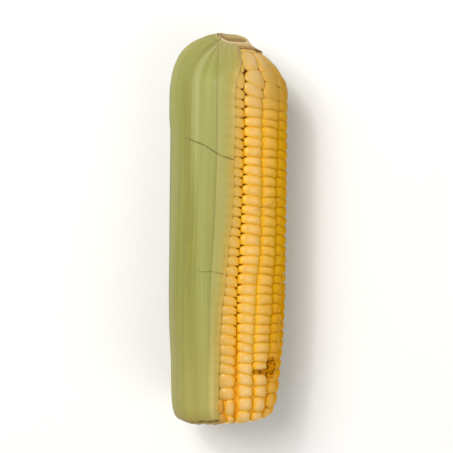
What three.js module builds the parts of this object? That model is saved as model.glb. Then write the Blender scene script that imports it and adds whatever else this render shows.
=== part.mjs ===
// A cob of sweet corn, trimmed at both ends, with part of its husk left on.
// Millimetres, +Z up. The cob lies along Y: the tip's cut is at -Y, the butt and its stub of
// stalk at +Y. The husk wraps the -X side and the underside, and the bare kernels face
// up and to +X. Angles go round the ear from its crest (+Z, 0 degrees) towards +X.

import * as THREE from 'three';

// ---- Driving dimensions --------------------------------------------------------------------
// Lengths are in millimetres and angles in degrees. Y is counted from a point on the ear's
// axis, and stations from the tip's cut along the ear's surface.

const BUTT_Y = 86.4;               // far lip of the shank
const TIP_Y = -86.6;               // the tip's cut, on the ear's axis
const TIP_SLANT = 0.07;            // the cut's rise in Y per mm towards +X
const TIP_SLANT_FADE = 30;         // the kernels and leaves follow the slant this far up
const CROWN_RADIUS = 24.7;         // over the kernels, where the ear is thickest

const TAPER_START_Y = -22;         // from here the ear thins towards the tip
const TAPER_DROP = 4.2;            // how much radius it loses on the way
const TAPER_POWER = 2.2;
const TIP_ROUND_LENGTH = 8;        // the last kernels round off to the cut
const TIP_ROUND_DROP = 2;
const CUT_MARGIN = 2;              // what ends within this of the cut ends flush with it
const DOME_START_Y = 60;           // from here the butt rounds in to the shank
const DOME_LENGTH = 22.5;
const DOME_POWER = 1.55;           // superellipse power of the butt's outline
const OUTLINE_STEPS = 600;         // points that the body's and the dome's outlines each have

const ROW_COUNT = 16;
const FIRST_GROOVE = 16.6;         // the groove just right of the crest at mid length
const ROW_TWIST = 0.036;           // drift of the rows per mm along the ear
const KERNEL_PITCH = 4.22;         // along a row
const TIP_KERNEL_PITCH = 5.9;      // the kernels grow longer at the tip
const TIP_PITCH_STATIONS = [12, 30];
const BUTT_KERNEL_PITCH = 5.6;     // and over the butt
const BUTT_PITCH_STATIONS = [128, 160];
const ROW_STAGGER = 0.5;           // of a kernel, from each row to the next
const ROW_PHASE_SPREAD = 0.16;     // of a kernel, by which a row's start varies
const LAST_KERNEL_SHARE = 0.55;    // the least that a row's last kernel keeps of its pitch
const GROOVE_DEPTH = 1.5;
const BUTT_GROOVE_LOSS = 0.35;     // share by which the grooves grow shallower at the butt
const BUTT_GROOVE_STATION = 140;
const KERNEL_TOP_SHARE = 0.64;     // how much of a kernel's outline its raised top covers
const KERNEL_SHOULDER = 0.24;      // drop of the top's corners, as a share of the groove depth
const KERNEL_JITTER = 0.07;        // uneven ends of the kernels, as a share of the pitch
const SHARED_GROOVE_REACH = 0.7;   // groove ends closer than this meet in one point
const MERGE_RADIUS = 12.4;         // inside this radius at the butt, rows join in pairs
const MERGE_ZIGZAG = 0.9;
const SEED = 2031;

const SHANK_RADIUS = 7;
const SHANK_TILT = 20;             // slope of the shank's cut
const SHANK_CUT_FACES = 20;        // the side that the slope faces, up and to +X
const SHANK_HOLLOW = 0.9;          // the cut has dried in to a shallow dish
const SHANK_HOLLOW_SHARE = 0.72;   // the dish's floor, as a share of the radius
const SHANK_CHAMFER = 0.5;         // round the foot, where it meets the ear
const SHANK_SIDES = 28;
const EAR_END_MARGIN = 0.5;        // the kernels end this far outside the shank's radius
const EAR_END_SINK = 0.3;          // and this far under the ear's outline

const PIECE_GAP = 0.35;            // between neighbouring pieces
const LEAF_COLUMN = 9.4;           // husk between columns of vertices
const LEAF_DRAPE = 5;              // over this length a leaf comes down past the edge under it
const LEAST_DRAPE_ANGLE = 10;
const LEAST_DRAPE_RADIUS = 4;
const RIPPLE = 0.22;               // broad lengthwise waves shared by all the leaves
const RIPPLE_COUNT = 11;
const RIPPLE_DRIFT = 0.02;         // radians of the wave per mm along the ear
const EDGE_LIFT = 0.55;            // how far the leaf edges stand off at the window
const EDGE_LIFT_ANGLE = 12;        // over this much husk
const EDGE_FLUTTER = [0.6, 0.4];   // the lift's mean and swing, as shares of it
const EDGE_FLUTTER_TURN = 0.11;    // radians of the swing per mm along the ear
const HIDDEN_EDGE = -236;          // where the leaves from the hidden side end
const HIDDEN_LIFT_SHARE = 0.8;     // their lift, as a share of the window's
const HIDDEN_LIFT_ANGLE = 14;
const WINDOW_EDGE = 8.5;           // the innermost leaf's edge at mid length
const OUTER_EDGE = 6;              // the outermost leaf's edge before its offset
const OUTER_EDGE_OFFSET = 6.9;     // from the crest to the outermost leaf's edge
const OUTER_EDGE_HEIGHT = 3;       // of that edge over the crowns
const BUTT_BULGE = 3.3;            // how far the leaves' stiff bases stand off the butt
const BULGE_FROM_CREST = [30, 75]; // angles over which the bulge grows on the visible side
const BULGE_FROM_HIDDEN = [195, 230];
const BULGE_RISE_Y = [61, 74];
const BULGE_FALL_Y = [76, 82];
const BULGE_END_SHARE = 0.05;      // how much of that is left where they meet the shank
const TIP_RAGGED = 0.6;            // share by which a leaf's cut end waves
const REST_ANGLE = -180;           // straight down
const REST_HALF_ANGLE = 14;        // half the width of the flat that the cob lies on
const REST_BLEND = [4, 26];        // past the flat, where the leaves leave it
const REST_STAND_OFF = 0.55;       // how far the leaves stand off the kernels over the flat
const BODY_STATIONS = [0, 3.5, 9, 20, 40, 66, 94, 122, 147];
const DOME_CELLS = 8;
const DOME_ARC = 29;               // about how long the dome is from its start to the shank
const HALVINGS = 40;               // of the search for where a leaf meets the shank

// ---- Small maths ---------------------------------------------------------------------------

const radians = THREE.MathUtils.degToRad;
const lerp = THREE.MathUtils.lerp;
const smooth = (value, low, high) => THREE.MathUtils.smoothstep(value, low, high);

/** Repeatable random numbers from 0 to 1. */
function seededRandom(seed) {
  let state = seed;
  return () => {
    state = (state * 1664525 + 1013904223) % 4294967296;
    return state / 4294967296;
  };
}

// ---- The ear's outline ---------------------------------------------------------------------
// Radius over the crowns against Y, from the tip's cut along a gentle taper to the straight
// middle, then over the superellipse dome of the butt to its apex on the axis.

function bodyRadius(y) {
  const taper = Math.max(0, (TAPER_START_Y - y) / (TAPER_START_Y - TIP_Y));
  const rounding = Math.max(0, 1 - (y - TIP_Y) / TIP_ROUND_LENGTH);
  return CROWN_RADIUS - TAPER_DROP * taper ** TAPER_POWER - TIP_ROUND_DROP * rounding ** 2;
}

/** Radius of the butt's dome at Y, as a share of the crown radius. */
function domeShare(y) {
  const along = THREE.MathUtils.clamp((y - DOME_START_Y) / DOME_LENGTH, 0, 1);
  return (1 - along ** DOME_POWER) ** (1 / DOME_POWER);
}

function measureOutline() {
  const points = [];
  for (let i = 0; i <= OUTLINE_STEPS; i += 1) {
    const y = lerp(TIP_Y, DOME_START_Y, i / OUTLINE_STEPS);
    points.push({ y, r: bodyRadius(y) });
  }
  for (let i = 1; i <= OUTLINE_STEPS; i += 1) {
    const angle = (i / OUTLINE_STEPS) * (Math.PI / 2);
    points.push({
      y: DOME_START_Y + DOME_LENGTH * Math.sin(angle) ** (2 / DOME_POWER),
      r: CROWN_RADIUS * Math.max(0, Math.cos(angle)) ** (2 / DOME_POWER),
    });
  }
  points[0].s = 0;
  for (let i = 1; i < points.length; i += 1) {
    const step = Math.hypot(points[i].y - points[i - 1].y, points[i].r - points[i - 1].r);
    points[i].s = points[i - 1].s + step;
  }
  return points;
}

const OUTLINE = measureOutline();
const OUTLINE_LENGTH = OUTLINE.at(-1).s;

/** Outline at arc length s from the tip: Y, radius, and the outward normal in the (r, y) plane. */
function outlineAt(s) {
  let low = 0;
  let high = OUTLINE.length - 1;
  while (high - low > 1) {
    const middle = (low + high) >> 1;
    if (OUTLINE[middle].s <= s) low = middle;
    else high = middle;
  }
  const a = OUTLINE[low];
  const b = OUTLINE[high];
  const share = THREE.MathUtils.clamp((s - a.s) / (b.s - a.s), 0, 1);
  const dy = (b.y - a.y) / (b.s - a.s);
  const dr = (b.r - a.r) / (b.s - a.s);
  return { y: lerp(a.y, b.y, share), r: lerp(a.r, b.r, share), normalY: -dr, normalR: dy };
}

/** Smallest s past the straight middle at which test(outline) first holds. */
function stationWhere(test) {
  return OUTLINE.find((point) => point.y >= DOME_START_Y && test(point)).s;
}

/** Point at angle (degrees) and station s, raised by height along the outline's normal. */
function earPoint(angle, s, height) {
  const at = outlineAt(s);
  const cutFace = s < CUT_MARGIN;
  const r = at.r + (cutFace ? 1 : at.normalR) * height;
  const y = at.y + (cutFace ? 0 : at.normalY) * height;
  const x = r * Math.sin(radians(angle));
  const slant = TIP_SLANT * x * (1 - smooth(s, 0, TIP_SLANT_FADE));
  return [x, y + slant, r * Math.cos(radians(angle))];
}

// ---- Mesh building -------------------------------------------------------------------------

/** Collects points and triangles into one closed BufferGeometry. */
class Shell {
  constructor() {
    this.points = [];
    this.triangles = [];
  }

  add(point) {
    this.points.push(point);
    return this.points.length - 1;
  }

  triangle(a, b, c) {
    if (a !== b && b !== c && c !== a) this.triangles.push(a, b, c);
  }

  quad(a, b, c, d) {
    this.triangle(a, b, c);
    this.triangle(a, c, d);
  }

  /** Strip between a run of points and the single edge from start to end that faces it. */
  bridge(run, start, end) {
    const half = Math.ceil((run.length - 1) / 2);
    for (let i = 0; i < half; i += 1) this.triangle(run[i], run[i + 1], start);
    this.triangle(run[half], end, start);
    for (let i = half; i < run.length - 1; i += 1) this.triangle(run[i], run[i + 1], end);
  }

  fan(centre, ring) {
    ring.forEach((point, i) => this.triangle(centre, point, ring[(i + 1) % ring.length]));
  }

  geometry() {
    const geometry = new THREE.BufferGeometry();
    geometry.setAttribute('position', new THREE.Float32BufferAttribute(this.points.flat(), 3));
    geometry.setIndex(this.triangles);
    geometry.computeVertexNormals();
    return geometry;
  }
}

// ---- Ear: the core and its kernels, one closed surface ------------------------------------
// Grooves run along the ear between the rows. Each kernel is the patch between two grooves and
// two cross lines. Its corners lie in the grooves and its top stands up between them.

const MERGE_STATION = stationWhere((point) => point.r <= MERGE_RADIUS);
const EAR_END_STATION = stationWhere((point) => point.r <= SHANK_RADIUS + EAR_END_MARGIN);

/** Length of one kernel along its row at station s. */
function kernelPitch(s) {
  const tip = 1 - smooth(s, ...TIP_PITCH_STATIONS);
  const butt = smooth(s, ...BUTT_PITCH_STATIONS);
  return KERNEL_PITCH + (TIP_KERNEL_PITCH - KERNEL_PITCH) * tip
    + (BUTT_KERNEL_PITCH - KERNEL_PITCH) * butt;
}

/** Stations at which 0, 1, 2 ... kernels have gone by, read between whole numbers by lerp. */
function countKernels() {
  const stations = [0];
  while (stations.at(-1) < MERGE_STATION + BUTT_KERNEL_PITCH) {
    stations.push(stations.at(-1) + kernelPitch(stations.at(-1)));
  }
  return stations;
}

function makeEar() {
  const random = seededRandom(SEED);
  const shell = new Shell();
  const stations = countKernels();
  const stationOf = (count) => {
    const whole = Math.floor(count);
    return lerp(stations[whole], stations[whole + 1], count - whole);
  };
  const rowPitch = 360 / ROW_COUNT;
  const grooveAngle = (line, s) => FIRST_GROOVE + line * rowPitch + ROW_TWIST * outlineAt(s).y;
  const depthAt = (s) => (
    GROOVE_DEPTH * (1 - BUTT_GROOVE_LOSS * smooth(s, BUTT_GROOVE_STATION, MERGE_STATION))
  );

  // Groove points, kept for each groove in order of station, so that the rows on both sides
  // of a groove use the same points.
  const grooves = Array.from({ length: ROW_COUNT }, () => []);
  const groovePoint = (line, s) => {
    const groove = grooves[line % ROW_COUNT];
    const near = groove.find((point) => Math.abs(point.s - s) < SHARED_GROOVE_REACH);
    if (near) return near;
    const angle = grooveAngle(line % ROW_COUNT, s);
    const point = { s, index: shell.add(earPoint(angle, s, -depthAt(s))) };
    groove.push(point);
    return point;
  };
  const grooveRun = (line, from, to) => {
    const groove = grooves[line % ROW_COUNT];
    const low = Math.min(from.s, to.s);
    const high = Math.max(from.s, to.s);
    const run = groove.filter((point) => point.s >= low && point.s <= high);
    run.sort((a, b) => (from.s < to.s ? a.s - b.s : b.s - a.s));
    return run.map((point) => point.index);
  };

  // The cross lines of every row are laid before any kernel, so that each groove is complete.
  const mergeStation = (line) => MERGE_STATION + (line % 2 ? MERGE_ZIGZAG : -MERGE_ZIGZAG);
  const rows = [];
  for (let row = 0; row < ROW_COUNT; row += 1) {
    const phase = (row % 2 ? ROW_STAGGER : 0) + ROW_PHASE_SPREAD * random();
    const last = Math.min(mergeStation(row), mergeStation(row + 1));
    const crossings = [{ left: groovePoint(row, 0), right: groovePoint(row + 1, 0) }];
    for (let k = 1; stationOf(k + phase + LAST_KERNEL_SHARE) < last; k += 1) {
      const jitter = () => KERNEL_JITTER * (2 * random() - 1);
      crossings.push({
        left: groovePoint(row, stationOf(k + phase + jitter())),
        right: groovePoint(row + 1, stationOf(k + phase + jitter())),
      });
    }
    crossings.push({
      left: groovePoint(row, mergeStation(row)),
      right: groovePoint(row + 1, mergeStation(row + 1)),
    });
    rows.push(crossings);
  }

  /** Raises one kernel between its low and high cross lines; returns its top's corners. */
  const raiseKernel = (line, span, low, high, lowRun) => {
    const middleAngle = (s) => grooveAngle(line, s) + (span * rowPitch) / 2;
    const lowS = (low.left.s + low.right.s) / 2;
    const highS = (high.left.s + high.right.s) / 2;
    const middleS = (lowS + highS) / 2;
    const halfAngle = (span * rowPitch * KERNEL_TOP_SHARE) / 2;
    const atCut = low.left.s <= 0;
    const topCorner = (side, cornerS) => {
      const s = atCut && cornerS <= 0 ? 0 : lerp(middleS, cornerS, KERNEL_TOP_SHARE);
      const height = -KERNEL_SHOULDER * depthAt(s);
      return shell.add(earPoint(middleAngle(s) + side * halfAngle, s, height));
    };
    const lowLeft = topCorner(-1, low.left.s);
    const lowRight = topCorner(1, low.right.s);
    const highRight = topCorner(1, high.right.s);
    const highLeft = topCorner(-1, high.left.s);
    const crown = shell.add(earPoint(middleAngle(middleS), middleS, 0));
    if (!atCut) shell.bridge(lowRun ?? [low.left.index, low.right.index], lowLeft, lowRight);
    shell.bridge(grooveRun(line + span, low.right, high.right), lowRight, highRight);
    shell.bridge([high.right.index, high.left.index], highRight, highLeft);
    shell.bridge(grooveRun(line, high.left, low.left), highLeft, lowLeft);
    shell.fan(crown, [lowLeft, lowRight, highRight, highLeft]);
    return [lowRight, lowLeft];
  };

  const cutRing = [];
  rows.forEach((crossings, row) => {
    for (let k = 0; k < crossings.length - 1; k += 1) {
      const top = raiseKernel(row, 1, crossings[k], crossings[k + 1]);
      if (k === 0) cutRing.unshift(...top, crossings[0].left.index);
    }
  });

  // Round the shank the rows join in pairs, as one ring of broad flat kernels.
  const endRing = [];
  for (let line = 0; line < ROW_COUNT; line += 2) {
    const low = { left: groovePoint(line, mergeStation(line)),
      right: groovePoint(line + 2, mergeStation(line + 2)) };
    const high = { left: groovePoint(line, EAR_END_STATION),
      right: groovePoint(line + 2, EAR_END_STATION) };
    const middle = groovePoint(line + 1, mergeStation(line + 1));
    raiseKernel(line, 2, low, high, [low.left.index, middle.index, low.right.index]);
    endRing.push(high.left.index);
  }

  shell.fan(shell.add([0, TIP_Y, 0]), cutRing);
  shell.fan(shell.add([0, shell.points[endRing[0]][1], 0]), endRing);
  return shell.geometry();
}

// ---- Shank: the stub of stalk, cut off slantwise -------------------------------------------

function makeShank() {
  const floorY = earPoint(0, EAR_END_STATION, -EAR_END_SINK).at(1) + PIECE_GAP;
  const slope = Math.tan(radians(SHANK_TILT));
  const facing = radians(SHANK_CUT_FACES);
  const lipY = BUTT_Y - SHANK_RADIUS * slope;
  const outline = [
    [0, floorY],
    [SHANK_RADIUS - SHANK_CHAMFER, floorY],
    [SHANK_RADIUS, floorY + SHANK_CHAMFER],
    [SHANK_RADIUS, lipY],
    [SHANK_RADIUS * SHANK_HOLLOW_SHARE, lipY - SHANK_HOLLOW],
    [0, lipY - SHANK_HOLLOW],
  ].map(([r, y]) => new THREE.Vector2(r, y));
  const geometry = new THREE.LatheGeometry(outline, SHANK_SIDES);
  const position = geometry.getAttribute('position');
  for (let i = 0; i < position.count; i += 1) {
    const y = position.getY(i);
    const downhill = position.getZ(i) * Math.cos(facing) + position.getX(i) * Math.sin(facing);
    if (y > floorY + 2 * SHANK_CHAMFER) position.setY(i, y - downhill * slope);
  }
  geometry.computeVertexNormals();
  return geometry;
}

// ---- Husk leaves ---------------------------------------------------------------------------
// A leaf is a thin shell between two angles, laid at a height over the crowns that clears every
// leaf under it. Leaves 1, 3 and 5 start at the window's near edge, leaves 2 and 4 come round
// from the hidden side.

/** Angle of the innermost leaf's edge along the window: it slants away towards the tip. */
function windowEdge(y) {
  return WINDOW_EDGE - 14 * smooth(-y, -22, 66) + 15 * smooth(y, 54, 88);
}

/** Angle of the outermost leaf's edge: it keeps its distance from the crest over the butt. */
function outerEdge(y) {
  const slant = 6 * smooth(-y, -30, 50);
  const radius = bodyRadius(Math.min(y, DOME_START_Y)) * domeShare(y) + OUTER_EDGE_HEIGHT;
  return OUTER_EDGE - slant - THREE.MathUtils.radToDeg(Math.asin(OUTER_EDGE_OFFSET / radius));
}

const LEAVES = [
  {
    name: 'husk_leaf_1', thickness: 0.65, tip: 0.6, color: 0xc4bd74,
    from: () => -132, to: windowEdge,
  },
  {
    name: 'husk_leaf_2', thickness: 0.65, tip: 0.9, color: 0xbcb76c,
    from: (y) => HIDDEN_EDGE - 3 * smooth(-y, -30, 70), to: () => -96, rests: true,
  },
  {
    name: 'husk_leaf_3', thickness: 0.65, tip: 0.3, color: 0xb4b268,
    from: () => -142, to: (y) => windowEdge(y) - 4 - 8 * smooth(y, 60, 80),
  },
  {
    name: 'husk_leaf_4', thickness: 0.65, tip: 1.1, color: 0xaaa95e,
    from: (y) => HIDDEN_EDGE + 7 + 5 * smooth(y, -60, 40), to: () => -122, rests: true,
  },
  {
    name: 'husk_leaf_5', thickness: 0.85, tip: 0, color: 0x9fa055,
    from: () => REST_ANGLE - REST_HALF_ANGLE - LEAF_COLUMN, to: outerEdge, rests: true,
  },
];

/** 1 over a lower leaf and a column's width past it, then down to 0 as the leaf drapes. */
function cover(lower, angle, at) {
  const radius = Math.max(at.r, LEAST_DRAPE_RADIUS);
  const drape = Math.max(LEAST_DRAPE_ANGLE, THREE.MathUtils.radToDeg(LEAF_DRAPE / radius));
  const past = Math.max(lower.from(at.y) - angle, angle - lower.to(at.y)) - LEAF_COLUMN;
  return 1 - smooth(past, 0, drape);
}

/** How far the leaves stand off the ear over the butt: full on the side away from the window. */
function buttBulge(angle, y) {
  const side = smooth(-angle, ...BULGE_FROM_CREST) * (1 - smooth(-angle, ...BULGE_FROM_HIDDEN));
  const fade = 1 - (1 - BULGE_END_SHARE) * smooth(y, ...BULGE_FALL_Y);
  return BUTT_BULGE * side * smooth(y, ...BULGE_RISE_Y) * fade;
}

/** Height of a leaf's inner face over the crowns. */
function leafHeight(order, angle, s) {
  const at = outlineAt(s);
  let height = PIECE_GAP;
  for (const lower of LEAVES.slice(0, order)) {
    height += (lower.thickness + PIECE_GAP) * cover(lower, angle, at);
  }
  const offRest = smooth(Math.abs(angle - REST_ANGLE) - REST_HALF_ANGLE, ...REST_BLEND);
  const wave = (1 + Math.sin(radians(RIPPLE_COUNT * angle) + RIPPLE_DRIFT * at.y)) / 2;
  const nearWindow = smooth(angle, windowEdge(at.y) - EDGE_LIFT_ANGLE, windowEdge(at.y));
  const nearHidden = 1 - smooth(angle, HIDDEN_EDGE, HIDDEN_EDGE + HIDDEN_LIFT_ANGLE);
  const [mean, swing] = EDGE_FLUTTER;
  const flutter = mean + swing * Math.sin(EDGE_FLUTTER_TURN * at.y + 1);
  return height + RIPPLE * wave * offRest + REST_STAND_OFF * (1 - offRest)
    + EDGE_LIFT * (flutter * nearWindow + HIDDEN_LIFT_SHARE * nearHidden)
    + buttBulge(angle, at.y);
}

/** Station at which a face at heightAt(s) over the dome comes in to the shank's side. */
function shankStation(heightAt) {
  let low = stationWhere(() => true);
  let high = OUTLINE_LENGTH;
  for (let i = 0; i < HALVINGS; i += 1) {
    const middle = (low + high) / 2;
    const at = outlineAt(middle);
    if (at.r + at.normalR * heightAt(middle) > SHANK_RADIUS + PIECE_GAP) low = middle;
    else high = middle;
  }
  return low;
}

/** Angles of a leaf's columns at Y. No column runs through the flat that the cob lies on. */
function leafColumns(leaf, y) {
  const spread = (from, to) => {
    const cells = Math.round((to(0) - from(0)) / LEAF_COLUMN);
    return Array.from({ length: cells + 1 }, (_, i) => lerp(from(y), to(y), i / cells));
  };
  if (!leaf.rests) return spread(leaf.from, leaf.to);
  return [
    ...spread(leaf.from, () => REST_ANGLE - REST_HALF_ANGLE),
    ...spread(() => REST_ANGLE + REST_HALF_ANGLE, leaf.to),
  ];
}

function makeLeaf(leaf, order) {
  const shell = new Shell();
  const rowCount = BODY_STATIONS.length + DOME_CELLS;
  const face = (rise) => {
    const grid = [];
    for (let j = 0; j < rowCount; j += 1) {
      const body = j < BODY_STATIONS.length;
      const alongDome = (j - BODY_STATIONS.length + 1) / DOME_CELLS;
      const level = body ? BODY_STATIONS[j] : BODY_STATIONS.at(-1);
      const columns = leafColumns(leaf, outlineAt(level + DOME_ARC * Math.max(0, alongDome)).y);
      grid.push(columns.map((angle) => {
        const heightAt = (s) => leafHeight(order, angle, s) + rise;
        let s = level;
        if (j === 0) s = leaf.tip * (1 + TIP_RAGGED * Math.sin(radians(3 * angle)));
        if (!body) s = lerp(level, shankStation(heightAt), alongDome);
        return shell.add(earPoint(angle, s, heightAt(s)));
      }));
    }
    return grid;
  };
  const inner = face(0);
  const outer = face(leaf.thickness);
  const columnCount = inner[0].length;
  for (let j = 0; j < rowCount - 1; j += 1) {
    for (let i = 0; i < columnCount - 1; i += 1) {
      shell.quad(outer[j][i], outer[j][i + 1], outer[j + 1][i + 1], outer[j + 1][i]);
      shell.quad(inner[j][i], inner[j + 1][i], inner[j + 1][i + 1], inner[j][i + 1]);
    }
    const last = columnCount - 1;
    shell.quad(inner[j][0], outer[j][0], outer[j + 1][0], inner[j + 1][0]);
    shell.quad(outer[j][last], inner[j][last], inner[j + 1][last], outer[j + 1][last]);
  }
  for (let i = 0; i < columnCount - 1; i += 1) {
    const top = rowCount - 1;
    shell.quad(inner[0][i], inner[0][i + 1], outer[0][i + 1], outer[0][i]);
    shell.quad(outer[top][i], outer[top][i + 1], inner[top][i + 1], inner[top][i]);
  }
  return shell.geometry();
}

// ---- Assembly ------------------------------------------------------------------------------

function namedMesh(name, geometry, color, roughness) {
  const material = new THREE.MeshStandardMaterial({ color, roughness, metalness: 0 });
  const mesh = new THREE.Mesh(geometry, material);
  mesh.name = name;
  return mesh;
}

const cob = new THREE.Group();
cob.add(namedMesh('ear', makeEar(), 0xebb357, 0.35));
cob.add(namedMesh('shank', makeShank(), 0xb9b07c, 0.7));
LEAVES.forEach((leaf, order) => {
  cob.add(namedMesh(leaf.name, makeLeaf(leaf, order), leaf.color, 0.5));
});

// The part's origin is the middle of its underside.
const part = new THREE.Group();
part.add(cob);
const box = new THREE.Box3().setFromObject(cob, true);
const middle = box.getCenter(new THREE.Vector3());
cob.position.set(-middle.x, -middle.y, -box.min.z);

export default part;
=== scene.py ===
# A cob of sweet corn, trimmed at both ends, with part of its husk still on it.
# Metres, +Z up. The cob lies along Y with its butt at +Y, its husk to -X and underneath, and its
# bare kernels up and to +X. Angles go round the ear from its crest (+Z) towards +X, in degrees.
# Stations run along the ear's surface from the tip's cut (0) over the butt to the axis.

import math

import bpy
import numpy as np
from mathutils import Matrix, Vector


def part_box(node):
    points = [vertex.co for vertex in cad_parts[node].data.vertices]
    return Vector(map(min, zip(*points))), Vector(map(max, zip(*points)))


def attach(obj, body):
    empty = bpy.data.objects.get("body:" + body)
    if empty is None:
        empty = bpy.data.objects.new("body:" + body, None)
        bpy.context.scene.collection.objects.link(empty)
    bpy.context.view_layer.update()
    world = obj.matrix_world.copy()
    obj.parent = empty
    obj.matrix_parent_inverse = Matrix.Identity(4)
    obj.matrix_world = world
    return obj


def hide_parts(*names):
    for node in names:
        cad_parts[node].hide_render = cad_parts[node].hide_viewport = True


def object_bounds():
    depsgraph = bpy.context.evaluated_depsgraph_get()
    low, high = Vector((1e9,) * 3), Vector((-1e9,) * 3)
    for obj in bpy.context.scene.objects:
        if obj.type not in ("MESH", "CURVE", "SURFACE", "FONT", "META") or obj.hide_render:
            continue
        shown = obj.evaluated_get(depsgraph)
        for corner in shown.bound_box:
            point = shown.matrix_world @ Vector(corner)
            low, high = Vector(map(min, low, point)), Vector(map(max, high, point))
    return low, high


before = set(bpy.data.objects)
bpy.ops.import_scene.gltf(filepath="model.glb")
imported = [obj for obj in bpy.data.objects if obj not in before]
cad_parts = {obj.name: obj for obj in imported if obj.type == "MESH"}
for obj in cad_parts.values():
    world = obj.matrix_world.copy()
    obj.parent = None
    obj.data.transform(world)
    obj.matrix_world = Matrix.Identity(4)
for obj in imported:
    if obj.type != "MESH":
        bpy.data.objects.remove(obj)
cad_low, cad_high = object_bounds()
mm = 0.001


# ---- Camera, light and floor -------------------------------------------------------------------
# The cob lies on a plain pale table. The camera looks straight down on it, a few degrees from
# its kernels' side, with the butt at the top of the picture.

camera_distance = 500 * mm
camera_lean = math.radians(6.5)
camera_roll = math.radians(0.7)
picture_size = 203 * mm

camera_data = bpy.data.cameras.new("camera")
camera_data.sensor_width = 36
camera_data.lens = camera_data.sensor_width * camera_distance / picture_size
camera = bpy.data.objects.new("camera", camera_data)
bpy.context.collection.objects.link(camera)
camera_target = (cad_low + cad_high) / 2
camera.matrix_world = (
    Matrix.Translation(camera_target)
    @ Matrix.Rotation(camera_lean, 4, "Y")
    @ Matrix.Rotation(camera_roll, 4, "Z")
    @ Matrix.Translation((0, 0, camera_distance))
)
bpy.context.scene.camera = camera
bpy.context.scene.view_settings.view_transform = "Standard"


def soft_lamp(name, place, width, watts, colour):
    """A square area lamp at a place, facing the cob."""
    data = bpy.data.lights.new(name, "AREA")
    data.size = width
    data.energy = watts
    data.color = colour
    lamp = bpy.data.objects.new(name, data)
    bpy.context.collection.objects.link(lamp)
    lamp.location = place
    lamp.rotation_euler = (camera_target - Vector(place)).to_track_quat("-Z", "Y").to_euler()


soft_lamp("key_lamp", (-0.34, 0.36, 0.92), 0.62, 8.9, (1.0, 0.985, 0.96))
soft_lamp("glint_lamp", (-0.3, 0.42, 0.9), 0.09, 1.2, (1.0, 0.99, 0.97))
soft_lamp("fill_lamp", (0.8, -0.5, 0.8), 0.9, 4.9, (0.97, 0.985, 1.0))

world = bpy.data.worlds.new("room")
world.use_nodes = True
sky = world.node_tree.nodes["Background"]
sky.inputs["Color"].default_value = (1.0, 1.0, 1.0, 1.0)
sky.inputs["Strength"].default_value = 0.4
bpy.context.scene.world = world


class Signal:
    """An output socket of a finish's nodes. Sums on it, with numbers or signals, add Math nodes."""

    def __init__(self, finish, socket):
        self.finish = finish
        self.socket = socket

    def math(self, operation, *values):
        return self.finish.node("Math", {"operation": operation}, dict(enumerate(values)))

    def __add__(self, other):
        return self.math("ADD", self, other)

    def __sub__(self, other):
        return self.math("SUBTRACT", self, other)

    def __rsub__(self, other):
        return self.math("SUBTRACT", other, self)

    def __mul__(self, other):
        return self.math("MULTIPLY", self, other)

    def __pow__(self, other):
        return self.math("POWER", self, other)

    __radd__ = __add__
    __rmul__ = __mul__

    def size(self):
        return self.math("ABSOLUTE", self)

    def larger(self, other):
        return self.math("MAXIMUM", self, other)

    def rise(self, low, high):
        """0 below low, 1 above high, and a smooth step between; low may be the larger."""
        if low > high:
            return 1 - self.rise(high, low)
        settings = {"interpolation_type": "SMOOTHSTEP"}
        return self.finish.node("MapRange", settings, {0: self, 1: low, 2: high})

    def rise_mm(self, low, high):
        """The same rise between two places given in millimetres."""
        return self.rise(low * mm, high * mm)


class Finish:
    """A procedural material. Settings go to its Principled shader's sockets."""

    def __init__(self, name, **settings):
        self.material = bpy.data.materials.new(name)
        self.material.use_nodes = True
        self.tree = self.material.node_tree
        self.tree.nodes.clear()
        self.shader = self.tree.nodes.new("ShaderNodeBsdfPrincipled")
        output = self.tree.nodes.new("ShaderNodeOutputMaterial")
        self.tree.links.new(self.shader.outputs[0], output.inputs[0])
        self.show(**settings)
        self.place = self.node("TexCoord", output="Object")

    def node(self, kind, settings=None, inputs=None, output=0):
        """Any node, from its type, its settings and its inputs' values or signals."""
        made = self.tree.nodes.new("ShaderNode" + kind)
        for setting, value in (settings or {}).items():
            setattr(made, setting, value)
        for socket, value in (inputs or {}).items():
            self.feed(made.inputs[socket], value)
        return Signal(self, made.outputs[output])

    def feed(self, socket, value):
        """Links a signal to a socket or sets a value on it. Text is a colour's hex digits."""
        if isinstance(value, Signal):
            self.tree.links.new(value.socket, socket)
        elif isinstance(value, str):
            socket.default_value = (*linear(value), 1.0)
        else:
            socket.default_value = value

    def mix(self, share, first, second):
        """The colour first where share is 0 and second where it is 1."""
        return self.node("Mix", {"data_type": "RGBA"}, {0: share, 6: first, 7: second}, 2)

    def painted(self, colour, *coats):
        """A colour under coats laid on in turn, each given by its share and its own colour."""
        for share, coat in coats:
            colour = self.mix(share, colour, coat)
        return colour

    def axis(self, letter):
        """One of X, Y and Z of the object's own place."""
        return self.node("SeparateXYZ", None, {0: self.place}, letter)

    def stretched(self, vector, *shares):
        """A vector with each of its axes multiplied by its share."""
        settings = {"operation": "MULTIPLY"}
        return self.node("VectorMath", settings, {0: vector, 1: shares})

    def noise(self, vector, scale, detail):
        """Smooth noise from about 0.2 to 0.8, with this many cells to one unit of the vector."""
        inputs = {"Vector": vector, "Scale": scale, "Detail": detail}
        return self.node("TexNoise", None, inputs)

    def attribute(self, name):
        """A number kept on each vertex of the piece under this name."""
        return self.node("Attribute", {"attribute_name": name}, output="Fac")

    def bump(self, height, distance, strength=1.0):
        """Relief on the normal from a height, where a height of 1 stands this far out."""
        inputs = {"Height": height, "Distance": distance, "Strength": strength}
        return self.node("Bump", None, inputs)

    def show(self, **signals):
        """Feeds signals to the shader's sockets."""
        for socket, value in signals.items():
            self.feed(self.shader.inputs[socket.replace("_", " ")], value)
        return self.material


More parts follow.
